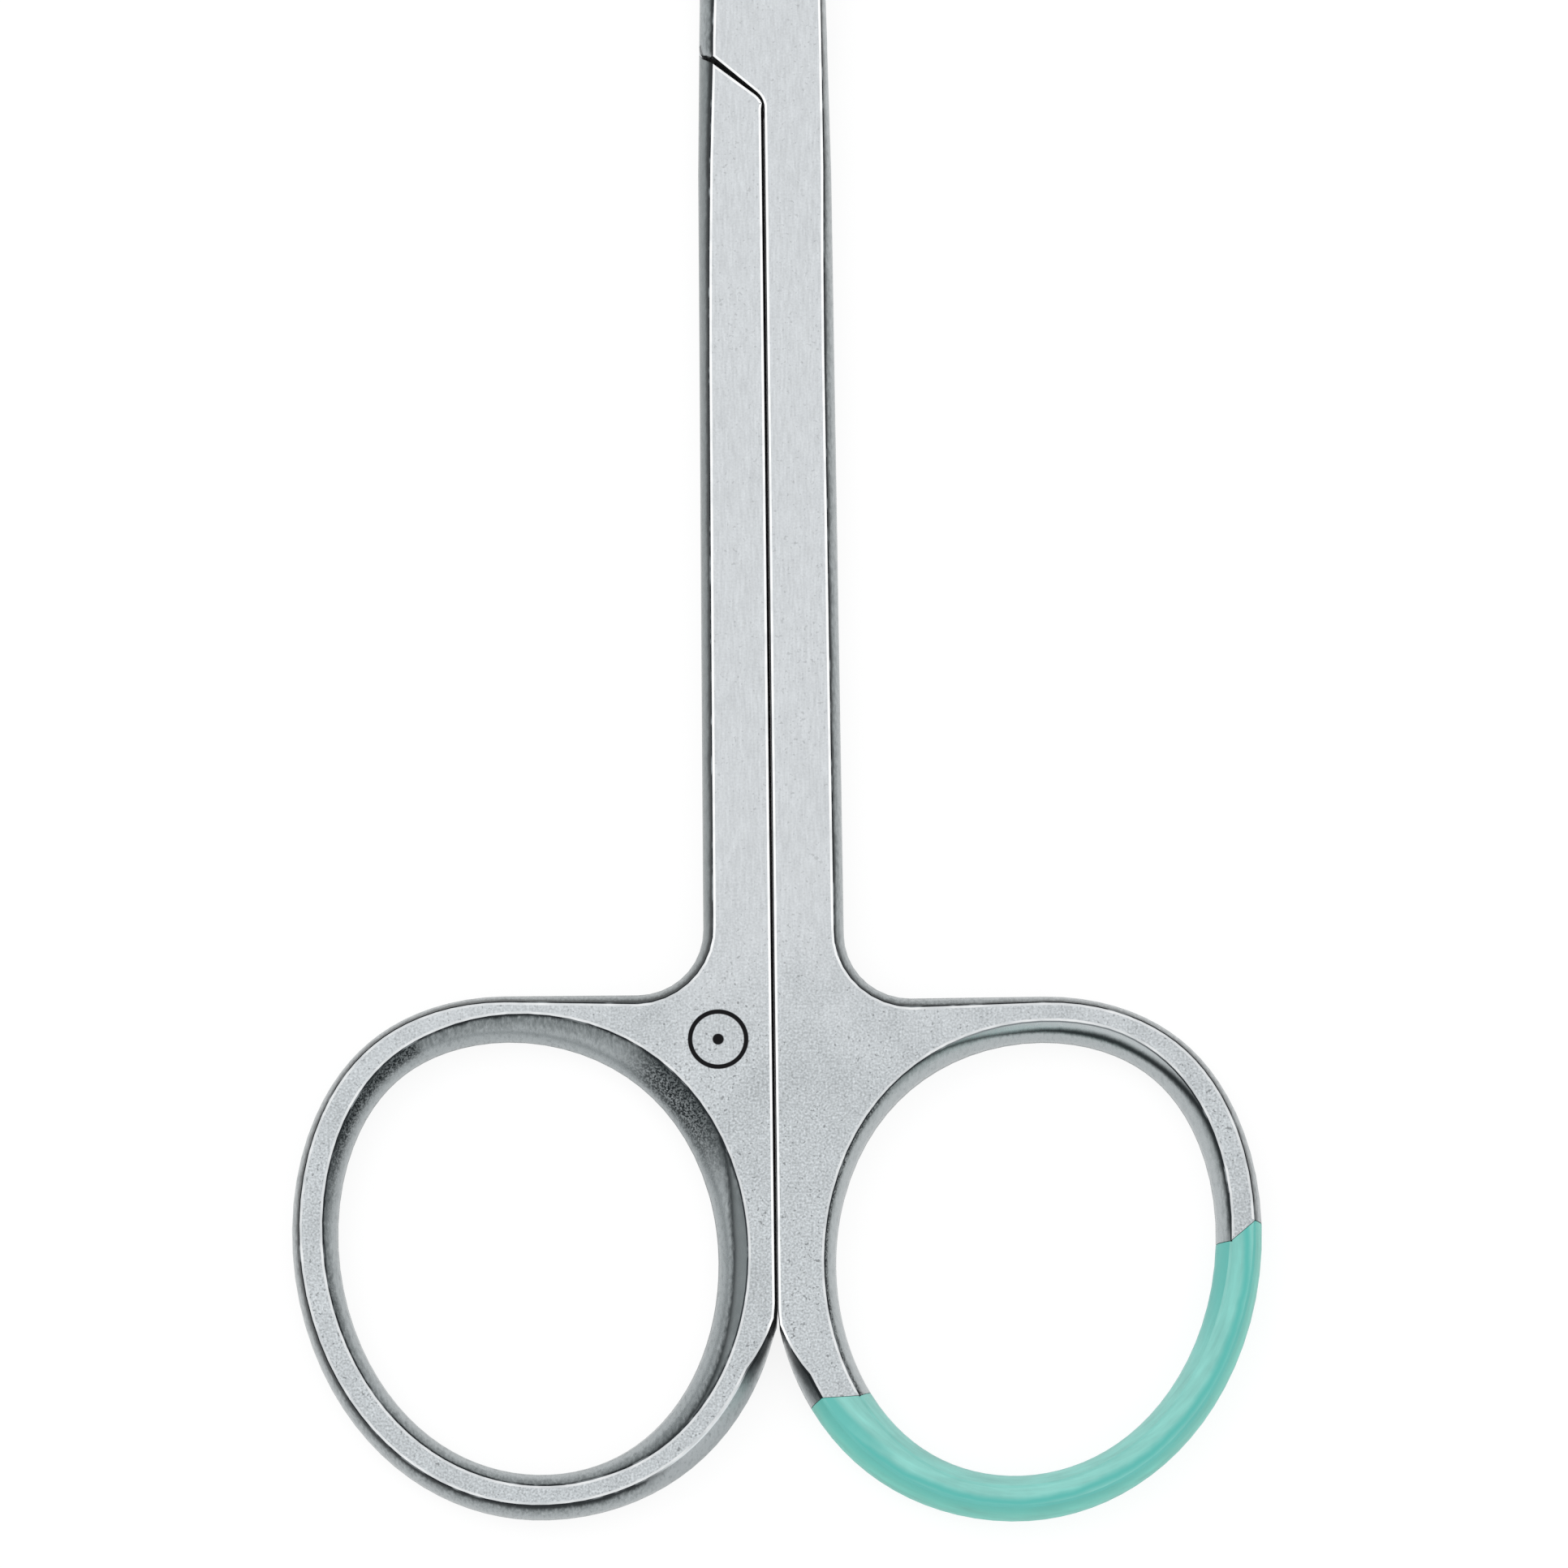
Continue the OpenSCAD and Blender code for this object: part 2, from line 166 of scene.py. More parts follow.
def placeCamera(v):
    turn = (math.radians(v["tilt"]), 0, -math.radians(v["lean"]))
    bpy.ops.object.camera_add(rotation=turn)
    camera = bpy.context.object
    camera.name = "photoCamera"
    back = camera.rotation_euler.to_matrix() @ Vector((0, 0, 1))
    camera.location = (Vector(v["aim"]) + back*v["distance"])*mm
    camera.data.sensor_width = v["sensor"]
    camera.data.lens = v["sensor"]*v["distance"]/v["frameWidth"]
    camera.data.clip_start = 0.01
    camera.data.clip_end = 20
    bpy.context.scene.camera = camera


placeCamera(photoView)
print("camera placed")

# Finishes, with painted light and shade on the sides, edges, gaps and coat
satinSteel = {
    "tone": (0.584, 0.608, 0.627),
    "ringTone": (0.505, 0.535, 0.553),  # duller down at the rings
    "dullFrom": -22,  # mm along Y
    "dullTo": -36,
    "dullWander": 12,  # mm that the clouds move that border
    "streak": (0.11, 1.0, 0.11),  # mm across, along and deep
    "streakDepth": 0.38,
    "sand": (0.12, 0.12, 0.12),
    "sandDepth": 0.26,
    "ringSandDepth": 0.95,  # added at the rings
    "cloud": (3, 4, 3),
    "cloudDepth": 0.42,
    "speck": (0.18, 0.18, 0.18),
    "speckFrom": (0.68, 0.74),  # share of the noise over which a speck appears
    "speckDepth": 0.6,
    "roughness": 0.36,
}


def satinFinish(name, s, mark=None):
    material, start, place = newFinish(name)
    streak = spots(place, s["streak"], 3, 0.6) - 0.5
    sand = spots(place, s["sand"], 1) - 0.5
    cloud = spots(place, s["cloud"], 4, 0.6) - 0.5
    dull = (place.part(1)/mm + cloud*s["dullWander"]).rise(s["dullFrom"], s["dullTo"])
    speck = (spots(place, s["speck"], 1) + cloud*0.35).rise(*s["speckFrom"])
    grain = streak*s["streakDepth"]*(1 - dull*0.5) + sand*(s["sandDepth"] + dull*s["ringSandDepth"])
    shade = grain + cloud*s["cloudDepth"]*(dull*0.8 + 0.2) - speck*s["speckDepth"]*(dull*0.6 + 0.3)
    tone = (shade + 0.5).mix(dull.mix(rgb(s["tone"], 0.5), rgb(s["ringTone"], 0.5)),
        dull.mix(rgb(s["tone"], 1.5), rgb(s["ringTone"], 1.5)))
    rough = streak*0.25 + s["roughness"]
    if mark:
        far = place.node("ShaderNodeVectorMath", {"operation": "DISTANCE"},
            {0: place, 1: (mark["at"][0]*mm, mark["at"][1]*mm, topFace)}, "Value")/mm
        ink = (1 - abs(far - mark["radius"]).rise(mark["line"]*0.42, mark["line"]*0.6)).larger(
            1 - far.rise(mark["dot"]*0.9, mark["dot"]*1.1))
        tone = ink.mix(tone, rgb(mark["tone"]))
        rough = rough + ink*0.2
    bump = start.node("ShaderNodeBump", {}, {"Height": streak + sand, "Strength": 0.12, "Distance": 0.01*mm})
    surface(start, {"Base Color": tone, "Metallic": 1.0, "Roughness": rough, "Normal": bump})
    return material


# The rounded sides, polished by tumbling. Their colour is painted reflection and shade: darker towards the flat
# faces, with a painted dark line by the flat's edge
sideShadeSteel = {
    # Painted tones: shank, ring and inner stand in for reflection and shade on the side, dark for a dark
    # reflection line, light and the lighter stretch's tone for light
    "shank": (0.34, 0.37, 0.38),
    "ring": (0.37, 0.40, 0.41),
    "inner": (0.17, 0.19, 0.195),
    "dark": (0.016, 0.02, 0.022),
    "light": (0.55, 0.58, 0.595),
    "lit": (0.44, 0.47, 0.485),
    "streak": (0.15, 0.4, 0.3),
    "streakDepth": 2.2,
    "fleck": (0.11, 0.11, 0.11),
    "notchAcross": (0.5, 3.4),  # mm from the middle over which the painted shade between the rings fades
    "notchAlong": (-44.5, -47),  # mm along Y over which it grows
    "roughness": 0.28,
}


# up runs from 0 at half height to 1 at the flat face. The side's tone is painted reflection and shade.
# A shade patch is a painted dark reflection. It has the degrees where it begins, is full, fades and ends, two
# heights between which it grows and its strength. A lighter stretch, given by four such degrees, has no painted
# dark line, and the side is painted lighter and runs on into the flat there. A trail is a painted dark line that
# leaves the flat's edge, runs lower on the side and returns. It has the degrees where it leaves, is lowest,
# rises and is back, and the painted tone that lies above it.
def sideShading(name, s, shadeFrom, line, middle=None, shadePatches=(), trail=None, lit=None):
    material, start, place = newFinish(name)
    up = abs(place.part(2) - midHeight)/midHeight
    grain = spots(place, s["streak"], 3, 0.65) - 0.5
    fleck = spots(place, s["fleck"], 2, 0.6).rise(0.38, 0.6)
    cloud = spots(place, (2, 2, 2), 3)
    # Painted reflection and shade: the side's tone turns from the ring's and shank's tones towards inner at the
    # flat
    outer = (place.part(1)/mm).rise(-32, -24).mix(rgb(s["ring"]), rgb(s["shank"]))
    tone = (up.rise(shadeFrom, 1.0)*(cloud + 0.5) + grain*s["streakDepth"]).mix(outer, rgb(s["inner"]))
    # Painted shade: a dark line near the flat's edge, standing in for a dark reflection
    dark = (up + (cloud - 0.5)*0.16 + grain*0.1).rise(*line)*0.95
    # Painted shade where the sides face each other between the rings
    notch = (1 - (abs(place.part(0))/mm).rise(*s["notchAcross"]))*(place.part(1)/mm).rise(*s["notchAlong"])
    dark = dark.larger(notch*up.rise(0.2, 0.7)*(cloud*0.4 + 0.65))
    if middle:
        direction = ringDirection(place, middle)
        # Painted dark reflections in patches round the hole
        for begin, full, fade, end, low, high, strength in shadePatches:
            shadePatch = stretch(direction, begin, full, fade, end)*up.rise(low, high)
            dark = dark.larger(shadePatch*(fleck*0.7 + 0.3)*strength)
    rough = grain*0.2 + s["roughness"]
    # Painted light: over this stretch the dark line is taken away and the side is painted lighter towards the
    # flat
    if lit:
        smooth = stretch(direction + (cloud - 0.5)*10, *lit)
        dark = dark*(1 - smooth)
        tone = (smooth*up.rise(0.1, 0.9)*(1 - abs(grain)*2.5)).mix(tone, rgb(s["lit"]))
        rough = rough + smooth*0.2
    # Painted shade: a dark reflection line that dips lower on the side, with a painted tone above it
    if trail:
        drop = direction.rise(trail["leaves"], trail["lowest"]) - direction.rise(trail["rises"], trail["back"])
        height = 0.98 - drop*(0.98 - trail["low"])
        there = direction.rise(trail["begins"], trail["begins"] + 8)*(1 - direction.rise(trail["back"],
            trail["back"] + 15))
        over = (up - height).rise(0.02, 0.14)*drop*trail["over"]
        tone = over.mix(tone, rgb(s[trail["above"]]))
        near = 1 - (abs(up - height + grain*0.08) + direction.rise(70, 100)*0.07).rise(0.02, trail["reach"])
        dark = (dark*(1 - over)).larger(near*there*trail["strength"])
    tone = dark.mix(tone, rgb(s["dark"]))
    surface(start, {"Base Color": tone, "Metallic": 1.0, "Roughness": rough})
    return material


# The narrow broken edge between flat and side, painted dark as shade, and the rim of the flat beside it with a
# painted highlight
edgeLines = {
    "dark": (0.02, 0.023, 0.026),
    "faint": (0.20, 0.22, 0.23),
    "lit": (0.50, 0.53, 0.545),
    "bright": (0.93, 0.94, 0.945),
    "dullBright": (0.56, 0.585, 0.60),
    "run": (1.2, 1.2, 1.2),  # mm over which their strength changes
    "holeEdge": (13.1, 13.3),  # mm from the ring's middle that hold the hole's edge
    "seamReach": (0.35, 0.9),  # mm from the middle within which the rims stay bright
}


# The dark line on the broken edge is painted shade. faint lies from low to high in the noise, and over the
# degrees of a stretch round the hole where the painted line fades.
# Over the degrees of the stretch on the ring's outer side that is painted lighter the line is gone, and it takes
# a lighter painted tone.
def darkLine(name, e, low, high, middle, faded=None, lit=None):
    material, start, place = newFinish(name)
    change = spots(place, e["run"], 2).rise(low, high)
    direction = ringDirection(place, middle)
    across = place.node("ShaderNodeVectorMath", {"operation": "DISTANCE"},
        {0: place, 1: (middle[0]*mm, middle[1]*mm, topFace)}, "Value")/mm
    outside = across.rise(*e["holeEdge"])
    if faded:
        change = change.larger(stretch(direction, *faded)*(1 - outside))
    tone = change.mix(rgb(e["dark"]), rgb(e["faint"]))
    if lit:
        tone = (stretch(direction, *lit)*outside).mix(tone, rgb(e["lit"]))
    surface(start, {"Base Color": tone, "Metallic": 1.0, "Roughness": 0.35})
    return material


# Painted highlight on the flat's rim: bright on the shanks, duller at the rings, bright by the seam
def brightLine(name, e):
    material, start, place = newFinish(name)
    ring = (place.part(1)/mm).rise(-24, -31)
    seam = 1 - (abs(place.part(0))/mm).rise(*e["seamReach"])
    strength = (1 - ring*0.72).larger(seam) + (spots(place, e["run"], 2) - 0.5)*1.6
    surface(start, {"Base Color": strength.mix(rgb(e["dullBright"]), rgb(e["bright"])), "Metallic": 1.0,
        "Roughness": 0.35})
    return material


# Walls deep in the seam and the shoulder's gap, and their edges, painted dark as shade in the narrow gaps
gapShadeSteel = {"tone": (0.17, 0.18, 0.185), "scale": (0.2, 0.2, 0.2)}
gapEdgeShade = {"tone": (0.006, 0.0065, 0.007), "scale": (0.2, 0.2, 0.2)}


def gapShading(name, g):
    material, start, place = newFinish(name)
    scale = spots(place, g["scale"], 3, 0.6)
    surface(start, {"Base Color": scale.mix(rgb(g["tone"], 0.6), rgb(g["tone"], 1.4)), "Metallic": 1.0,
        "Roughness": scale*0.2 + 0.35})
    return material


# Faces ground on a wheel: fine straight marks across the part
groundSteel = {"tone": (0.60, 0.62, 0.635), "mark": (2.5, 0.07, 0.5), "depth": 0.22, "roughness": 0.24}


def groundFinish(name, g):
    material, start, place = newFinish(name)
    mark = spots(place, g["mark"], 3, 0.65)
    tone = mark.mix(rgb(g["tone"], 1 - g["depth"]), rgb(g["tone"], 1 + g["depth"]))
    bump = start.node("ShaderNodeBump", {}, {"Height": mark, "Strength": 0.2, "Distance": 0.01*mm})
    surface(start, {"Base Color": tone, "Metallic": 1.0, "Roughness": (mark - 0.5)*0.2 + g["roughness"],
        "Normal": bump})
    return material


# The two forged halves
forging = {
    "rimBright": 0.17,  # mm, width of the painted highlight rim of a flat before its edge is broken
    "edgeBreak": {"gapEdgeShade": 0.045, "dark": 0.045},  # mm
    "bladeStart": 5.5,  # mm from the pivot
    "shoulder": (-9.6, -4.6),  # mm from the pivot, where the lap's shoulder lies
    "weld": 0.0045,  # mm
    "holeReach": 13.0,  # mm from the ring's middle within which a side faces the hole
}
laserMark = {  # plain ring and dot on the left half
    "at": (-2.99, -31.9),
    "radius": 1.48,
    "line": 0.24,
    "dot": 0.3,
    "tone": (0.012, 0.012, 0.013),
}


def openCopy(node, name):
    bpy.ops.object.select_all(action="DESELECT")
    piece = bpy.data.objects.new(name, frame["nodes"][node].data.copy())
    bpy.context.scene.collection.objects.link(piece)
    piece.data.materials.clear()
    piece.select_set(True)
    bpy.context.view_layer.objects.active = piece
    bpy.ops.object.mode_set(mode="EDIT")
    bpy.ops.mesh.select_all(action="SELECT")
    bpy.ops.mesh.customdata_custom_splitnormals_clear()
    bpy.ops.mesh.remove_doubles(threshold=forging["weld"]*mm)
    bpy.ops.mesh.tris_convert_to_quads(face_threshold=math.radians(20), shape_threshold=math.radians(40))
    return piece


# In edit mode: selects the faces or edges that pass the test
def pick(piece, kind, test):
    bpy.ops.mesh.select_mode(type=kind)
    bpy.ops.mesh.select_all(action="DESELECT")
    shape = bmesh.from_edit_mesh(piece.data)
    shape.normal_update()
    parts = shape.faces if kind == "FACE" else shape.edges
    for part in [p for p in parts if test(p)]:
        part.select_set(True)
    bmesh.update_edit_mesh(piece.data)


def paintPicked(piece, finish):
    names = [m.name for m in piece.data.materials]
    if finish.name not in names:
        piece.data.materials.append(finish)
        names.append(finish.name)
    piece.active_material_index = names.index(finish.name)
    bpy.ops.object.material_slot_assign()
    return names.index(finish.name)


def isFlat(face):
    if abs(face.normal.z) < 0.9999:
        return False
    heights = [v.co.z for v in face.verts]
    return min(heights) > topFace - 0.002*mm or max(heights) < 0.002*mm


def beside(face, test):
    return any(test(other) for edge in face.edges for other in edge.link_faces)


# Breaks the edges of the flat faces, with a painted highlight rim on the flat side and a dark line of painted
# shade on the edge.
# Nothing is broken at an end, where the coat begins.
def lineEdges(piece, finishes, rim, broken, isEnd, isGap=lambda edge: False):
    pick(piece, "FACE", isFlat)
    paintPicked(piece, finishes["flat"])
    bpy.ops.mesh.inset(thickness=rim*mm, use_select_inset=True)
    brightSlot = paintPicked(piece, finishes["bright"])
    pick(piece, "FACE", lambda f: f.material_index == brightSlot and (beside(f, isEnd) or any(
        len(e.link_faces) == 2 and 0.05 < e.calc_face_angle() < math.radians(28) for e in f.edges)))
    paintPicked(piece, finishes["flat"])
    brokenSlots = []
    for name, test in ("gapEdgeShade", isGap), ("dark", lambda e: sum(isFlat(f) for f in e.link_faces) == 1):
        if name in finishes:
            pick(piece, "EDGE", lambda e: len(e.link_faces) == 2 and e.calc_face_angle() > math.radians(28)
                and test(e) and not any(isEnd(f) or f.material_index in brokenSlots for f in e.link_faces))
            piece.data.materials.append(finishes[name])
            brokenSlots.append(len(piece.data.materials) - 1)
            bpy.ops.mesh.bevel(offset=broken[name]*mm, segments=1, material=brokenSlots[-1])
    pick(piece, "EDGE", lambda e: len(e.link_faces) == 2 and (e.calc_face_angle() > math.radians(36)
        or sum(f.material_index in brokenSlots for f in e.link_faces) == 1))
    bpy.ops.mesh.mark_sharp()


# Tests for a ring's faces: those turned to its hole, and those across the ring where the coat ends
def ringTests(ringMiddle):
    middle = Vector((ringMiddle[0]*mm, ringMiddle[1]*mm))

    def facesHole(face):
        way = middle - face.calc_center_median().xy
        return way.length < forging["holeReach"]*mm and abs(face.normal.z) < 0.97 and face.normal.xy.dot(way) > 0

    def isEnd(face):
        way = middle - face.calc_center_median().xy
        return (way.length < forging["holeReach"]*mm and abs(face.normal.z) < 0.6
            and abs(face.normal.xy.normalized().dot(way.normalized())) < 0.6)

    return facesHole, isEnd


def closePiece(piece, body, node):
    bpy.ops.mesh.select_mode(type="FACE")
    bpy.ops.mesh.select_all(action="SELECT")
    bpy.ops.mesh.faces_shade_smooth()
    bpy.ops.object.mode_set(mode="OBJECT")
    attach(piece, body)
    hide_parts(node)


def forgeHalf(h, finishes):
    piece = openCopy(h["node"], h["name"])
    facesHole, isEnd = ringTests(h["ringMiddle"])
    bpy.ops.mesh.select_all(action="SELECT")
    paintPicked(piece, finishes["side"])

    def isGroundFace(face):  # the lap faces and the blades' inner faces
        at = face.calc_center_median()
        return abs(face.normal.z) > 0.9 and abs(at.z - midHeight) < 0.25*mm

    def isBladeFace(face):
        at = face.calc_center_median()
        return abs(face.normal.z) > 0.97 and abs(at.z - midHeight) > 0.25*mm

    def isCuttingBevel(face):
        at = face.calc_center_median()
        return (at.y > pivot.y + forging["bladeStart"]*mm and at.x*h["cutSide"] > 0
            and 0.2 < abs(face.normal.z) < 0.97)

    def atShoulder(at):
        low, high = forging["shoulder"]
        return low*mm < at.y - pivot.y < high*mm

    def isGapWall(face):  # along the seam and the shoulder, facing the other half
        at = face.calc_center_median()
        seam = abs(at.x) < 0.3*mm and at.y < pivot.y + forging["shoulder"][0]*mm and abs(face.normal.x) > 0.7
        return seam or (atShoulder(at) and abs(face.normal.z) < 0.2 and abs(face.normal.y) > 0.05)

    def isGapEdge(edge):
        at = (edge.verts[0].co + edge.verts[1].co)/2
        return (abs(at.z - midHeight) > 0.2*mm and abs(at.x) < 3.6*mm
            and any(isGapWall(f) for f in edge.link_faces) and (atShoulder(at) or any(isFlat(f) for f in edge.link_faces)))

    for test, finish in (facesHole, "holeSide"), (isGroundFace, "ground"), (isBladeFace, "flat"), \
            (isCuttingBevel, "cutting"), (isGapWall, "gap"):
        pick(piece, "FACE", test)
        paintPicked(piece, finishes[finish])
    lineEdges(piece, finishes, forging["rimBright"], forging["edgeBreak"], isEnd, isGapEdge)
    closePiece(piece, h["body"], h["node"])
    print(h["name"], "forged:", len(piece.data.polygons), "faces")


ringOffset = 0.17  # mm, how far each ring lies off the middle height of both
leftHalf = {"node": "lower_half", "name": "leftHalf", "body": "lower", "cutSide": -1,
    "ringMiddle": (-13.16, -43.31 + ringOffset)}
rightHalf = {"node": "upper_half", "name": "rightHalf", "body": "upper", "cutSide": 1,
    "ringMiddle": (13.16, -43.31 - ringOffset)}
# Painted dark reflections on the hole sides: degrees where each begins, is full, fades and ends, two heights and
# strength; then the painted dark lines that dip down the sides
leftShadePatches = [
    (0, 38, 61, 65, 0.3, 0.8, 1.0),
    (112, 128, 140, 166, 0.0, 0.6, 1.0),
    (325, 345, 352, 359, 0.6, 0.95, 0.6),
]
rightShadePatches = [(120, 138, 222, 242, 0.78, 0.93, 1.0)]
leftTrail = {"begins": 140, "leaves": 146, "lowest": 176, "rises": 186, "back": 240, "low": 0.72,
    "reach": 0.22, "strength": 1.0, "over": 0.85, "above": "inner"}
rightTrail = {"begins": 1, "leaves": 30, "lowest": 62, "rises": 90, "back": 118, "low": 0.70,
    "reach": 0.2, "strength": 0.95, "over": 0.8, "above": "light"}
# Degrees round the right ring's hole where its painted dark line fades
fadedStretch = (48, 66, 104, 118)
# Degrees where the left ring's outer side is painted lighter, with no dark line
litStretch = (206, 214, 234, 246)
common = {
    "ground": groundFinish("groundLap", groundSteel),
    "cutting": groundFinish("groundEdge", dict(groundSteel, mark=(0.06, 1.2, 0.3), roughness=0.18)),
    "gap": gapShading("gapWallShade", gapShadeSteel),
    "gapEdgeShade": gapShading("gapEdgeShade", gapEdgeShade),
    "bright": brightLine("highlightRim", edgeLines),
}
# Painted shade and light: the left shank's sides darker, the right ring's hole side lighter
leftSide = dict(sideShadeSteel, shank=(0.215, 0.24, 0.245))
lightHole = dict(sideShadeSteel, ring=(0.42, 0.45, 0.46), inner=(0.27, 0.295, 0.30))
forgeHalf(leftHalf, dict(common,
    flat=satinFinish("satinFlatLeft", satinSteel, laserMark),
    side=sideShading("tumbledSideShadeLeft", leftSide, 0.3, (0.70, 0.92), leftHalf["ringMiddle"], lit=litStretch),
    holeSide=sideShading("tumbledHoleShadeLeft", sideShadeSteel, 0.5, (0.90, 1.0), leftHalf["ringMiddle"], leftShadePatches,
        leftTrail),
    dark=darkLine("brokenEdgeShadeLeft", edgeLines, 0.52, 0.7, leftHalf["ringMiddle"], lit=litStretch),
))
forgeHalf(rightHalf, dict(common,
    flat=satinFinish("satinFlatRight", satinSteel),
    side=sideShading("tumbledSideShadeRight", sideShadeSteel, 0.4, (0.78, 0.96)),
    holeSide=sideShading("tumbledHoleShadeRight", lightHole, 0.6, (0.965, 1.03), rightHalf["ringMiddle"], rightShadePatches,
        rightTrail),
    dark=darkLine("brokenEdgeShadeRight", edgeLines, 0.52, 0.7, rightHalf["ringMiddle"], fadedStretch),
))

# The coat on the right ring. Its darker outer side, the dark band along its rim and the dark patch at its near
# end are painted shade
tealCoat = {
    # flat is the coat's own colour; the outer side's tone and the dark band's tone are painted shade
    "flat": (0.245, 0.60, 0.54),
    "outer": (0.165, 0.57, 0.485),
    "shadeBand": (0.085, 0.47, 0.42),
    "streak": (14, 0.35, 0.45),  # degrees round the ring, mm out and mm up
    "nearEnd": (223, 240),  # degrees over which the painted shade patch at the near end fades
    "farEnd": (318, 352),  # degrees over which the coat darkens to its far end
    "patchFrom": (12.6, 12.95),  # mm from the ring's middle
    "flatEdge": (13.77, 11.90),  # mm from the ring's middle to the flat's outer edge, near end and far end
    "edgeTurns": (252, 348),  # degrees over which that radius changes
    "shadeBandIn": 0.32,  # mm, how far the painted shade band lies in from that edge
    "shadeBandReach": 0.42,  # mm to each side
    "shadeBandEdge": (0.7, 0.4),  # mm in from that edge over which the broken edge takes the painted shade band's tone
    "rim": 0.12,
    "edgeBreak": {"dark": 0.09},
    "roughness": 0.42,
}


# Paints the coat's colour with painted shade: low and high are the heights on the side between which the tone
# turns into the painted shade band's
def coatToneAndShade(name, tone, edgeTone, c, low, high, share=1.0, patch=0.0, atEnd=0.0, onFlat=0.0, onEdge=0.0):
    material, start, place = newFinish(name)
    up = abs(place.part(2) - midHeight)/midHeight
    middle = rightHalf["ringMiddle"]
    direction = ringDirection(place, middle, 90)
    centred = start.node("ShaderNodeVectorMath", {"operation": "SUBTRACT"}, {0: place,
        1: (middle[0]*mm, middle[1]*mm, midHeight)})
    flat = start.node("ShaderNodeVectorMath", {"operation": "MULTIPLY"}, {0: centred, 1: (1, 1, 0)})
    out = start.node("ShaderNodeVectorMath", {"operation": "LENGTH"}, {0: flat}, "Value")
    alongRing = start.node("ShaderNodeCombineXYZ", {}, {0: direction*mm, 1: out, 2: place.part(2)})
    brushed = spots(alongRing, c["streak"], 3, 0.6)
    pool = spots(place, (1.5, 1.5, 1.5), 2)
    # Painted shade: a dark band on the sides and rim and a dark patch at the near end; the coat also darkens to
    # its far end
    near = 1 - (direction + (pool - 0.5)*12).rise(*c["nearEnd"])
    shadeBand = (up + (brushed - 0.5)*0.4 + near*0.12).rise(low, high)*share
    shadeBand = shadeBand.larger(near*(out/mm).rise(*c["patchFrom"])*patch)
    shadeBand = shadeBand.larger(direction.rise(*c["farEnd"])*atEnd)
    edge = c["flatEdge"][0] - direction.rise(*c["edgeTurns"])*(c["flatEdge"][0] - c["flatEdge"][1])
    inward = edge - out/mm
    shadeBand = shadeBand.larger((inward + (pool - 0.5)*0.3).bump(c["shadeBandIn"], c["shadeBandReach"])*onFlat)
    shadeBand = shadeBand.larger(inward.rise(*c["shadeBandEdge"])*onEdge)
    body = (brushed*0.8 + pool*0.3 - 0.05).mix(rgb(tone, 0.62), rgb(tone, 1.38))
    surface(start, {"Base Color": shadeBand.mix(body, rgb(edgeTone)), "Metallic": 0.0,
        "Roughness": c["roughness"] + (pool - 0.5)*0.15, "IOR": 1.5, "Coat Roughness": 0.2})
    return material


def coatRing(c):
    piece = openCopy("ring_coat", "tealRingCoat")
    facesHole, isEnd = ringTests(rightHalf["ringMiddle"])
    bpy.ops.mesh.select_all(action="SELECT")
    paintPicked(piece, coatToneAndShade("tealOuter", c["outer"], c["shadeBand"], c, 0.5, 0.95, 0.6))
    pick(piece, "FACE", facesHole)
    paintPicked(piece, coatToneAndShade("tealHole", c["flat"], c["shadeBand"], c, 0.35, 0.0, 0.5, atEnd=0.8))
    flat = coatToneAndShade("tealFlat", c["flat"], c["shadeBand"], c, 0.5, 0.95, 0.0, 0.8, 0.2, 0.95)
    broken = coatToneAndShade("tealShadeBand", c["flat"], c["shadeBand"], c, 0.5, 0.95, 0.15, onEdge=0.75)
    lineEdges(piece, {"flat": flat, "bright": flat, "dark": broken}, c["rim"], c["edgeBreak"], isEnd)
    closePiece(piece, "upper", "ring_coat")
    print("ring coat painted:", len(piece.data.polygons), "faces")


coatRing(tealCoat)

# The pivot screw
screwSteel = {
    "tone": (0.68, 0.69, 0.70),
    "ringPitch": 0.07,  # mm between turning marks
    # tone painted into the slot as shade in the recess
    "slot": (0.10, 0.105, 0.11),
    "slotReach": 1.2,  # mm from the pivot within which a wall is the slot's
    "slotDeep": 0.8,  # mm below the upper face
    "edgeBreak": 0.05,
    "roughness": 0.22,
}


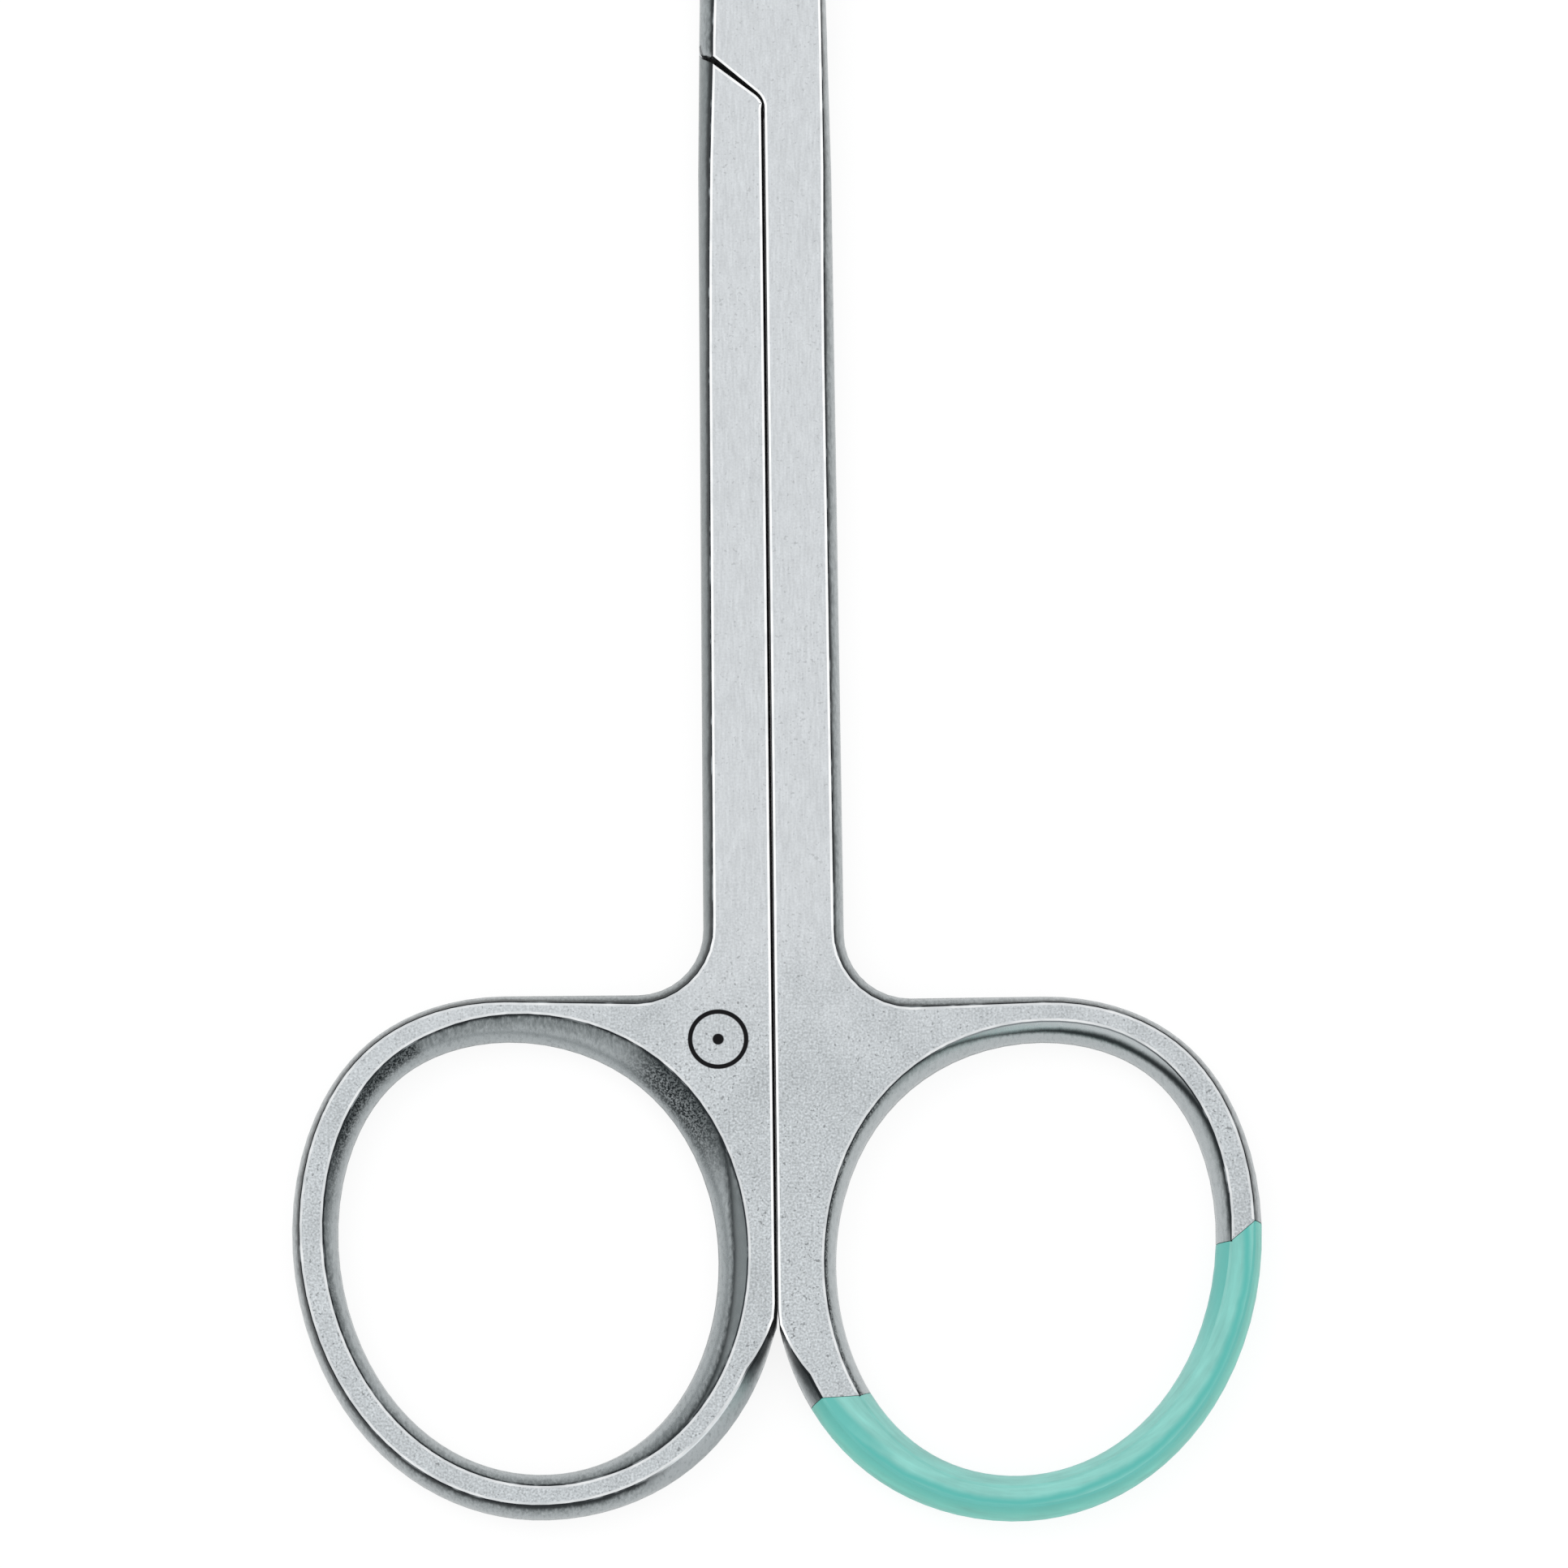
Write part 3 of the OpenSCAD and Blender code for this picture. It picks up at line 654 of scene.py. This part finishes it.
def turnScrew(s):
    piece = openCopy("pivot_screw", "slottedScrew")
    material, start, place = newFinish("turnedSteel")
    centred = start.node("ShaderNodeVectorMath", {"operation": "SUBTRACT"}, {0: place, 1: (pivot.x, pivot.y, 0)})
    flat = start.node("ShaderNodeVectorMath", {"operation": "MULTIPLY"}, {0: centred, 1: (1, 1, 0)})
    out = start.node("ShaderNodeVectorMath", {"operation": "LENGTH"}, {0: flat}, "Value")/mm
    phase = out*(2*math.pi/s["ringPitch"]) + spots(place, (1.5, 1.5, 1.5))*3
    rings = phase.maths("SINE", phase)
    scuff = spots(place, (0.3, 0.3, 0.3), 3, 0.65)
    shade = 0.5 + rings*0.06 + (scuff - 0.5)*0.4
    bump = start.node("ShaderNodeBump", {}, {"Height": rings, "Strength": 0.15, "Distance": 0.004*mm})
    surface(start, {"Base Color": shade.mix(rgb(s["tone"], 0.7), rgb(s["tone"], 1.25)), "Metallic": 1.0,
        "Roughness": s["roughness"] + (scuff - 0.5)*0.25, "Normal": bump})
    bpy.ops.mesh.select_all(action="SELECT")
    paintPicked(piece, material)
    headTop = max(v.co.z for v in piece.data.vertices)

    def isSlot(face):  # its floor and both walls
        at = face.calc_center_median()
        floor = face.normal.z > 0.9 and at.z < headTop - 0.1*mm
        wall = (abs(face.normal.z) < 0.3 and (at.xy - pivot.xy).length < s["slotReach"]*mm)
        return at.z > topFace - s["slotDeep"]*mm and (floor or wall)

    # The slot's floor and walls are painted dark as shade in the recess
    pick(piece, "FACE", isSlot)
    paintPicked(piece, gapShading("screwSlotShade", {"tone": s["slot"], "scale": (0.3, 0.3, 0.3)}))
    pick(piece, "EDGE", lambda e: len(e.link_faces) == 2 and e.calc_face_angle() > math.radians(36))
    bpy.ops.mesh.bevel(offset=s["edgeBreak"]*mm, segments=2, clamp_overlap=True)
    pick(piece, "EDGE", lambda e: len(e.link_faces) == 2 and e.calc_face_angle() > math.radians(30))
    bpy.ops.mesh.mark_sharp()
    closePiece(piece, "lower", "pivot_screw")
    print("screw turned:", len(piece.data.polygons), "faces")


turnScrew(screwSteel)

# Floor and light
studio = {
    "floorSize": 12,  # m
    "floorDrop": 0.02,  # mm under the scissors
    "glow": 0.86,  # how far the floor is white by itself to the camera and in reflections
    "sky": 0.84,
    "lampPower": 1.8,
}


def seenDirectly(start):
    seen = start.node("ShaderNodeLightPath", {}, {}, "Is Camera Ray")
    for kind in ("Is Glossy Ray", "Is Transmission Ray"):
        seen = seen.larger(start.node("ShaderNodeLightPath", {}, {}, kind))
    return seen


def layFloor(s):
    bpy.ops.object.select_all(action="DESELECT")
    bpy.ops.mesh.primitive_plane_add(size=s["floorSize"], location=(0, 0, -s["floorDrop"]*mm))
    floor = bpy.context.object
    floor.name = "whiteFloor"
    material, start, place = newFinish("whiteFloor")
    seen = seenDirectly(start)
    paper = spots(place, (40, 40, 40))*0.01
    surface(start, {"Base Color": (seen + paper).mix(rgb((0.8, 0.8, 0.8)), rgb((0.18, 0.18, 0.18))),
        "Roughness": 0.9, "Specular IOR Level": 0.0,
        "Emission Color": seen.mix(rgb((0, 0, 0)), rgb((s["glow"], s["glow"], s["glow"]))),
        "Emission Strength": 1.0})
    floor.data.materials.append(material)


def lightStudio(s):
    world = bpy.data.worlds.new("paleStudio")
    bpy.context.scene.world = world
    world.use_nodes = True
    world.node_tree.nodes.clear()
    start = Wire(world.node_tree)
    seen = seenDirectly(start)
    sky = start.node("ShaderNodeBackground", {}, {"Color": rgb((1, 1, 1)),
        "Strength": s["sky"] + seen*(1 - s["sky"])})
    start.node("ShaderNodeOutputWorld", {}, {"Surface": sky})
    for name, at, size, share in ("softLampLeft", (-0.55, 0.35, 0.75), 0.7, 1.0), \
            ("softLampRight", (0.6, -0.5, 0.7), 0.6, 0.45):
        bpy.ops.object.light_add(type="AREA", location=at)
        lamp = bpy.context.object
        lamp.name = name
        lamp.data.size = size
        lamp.data.energy = s["lampPower"]*share
        lamp.rotation_euler = Vector(at).to_track_quat("Z", "Y").to_euler()


layFloor(studio)
lightStudio(studio)
bpy.context.scene.view_settings.view_transform = "Standard"
print("floor laid and lamps set")
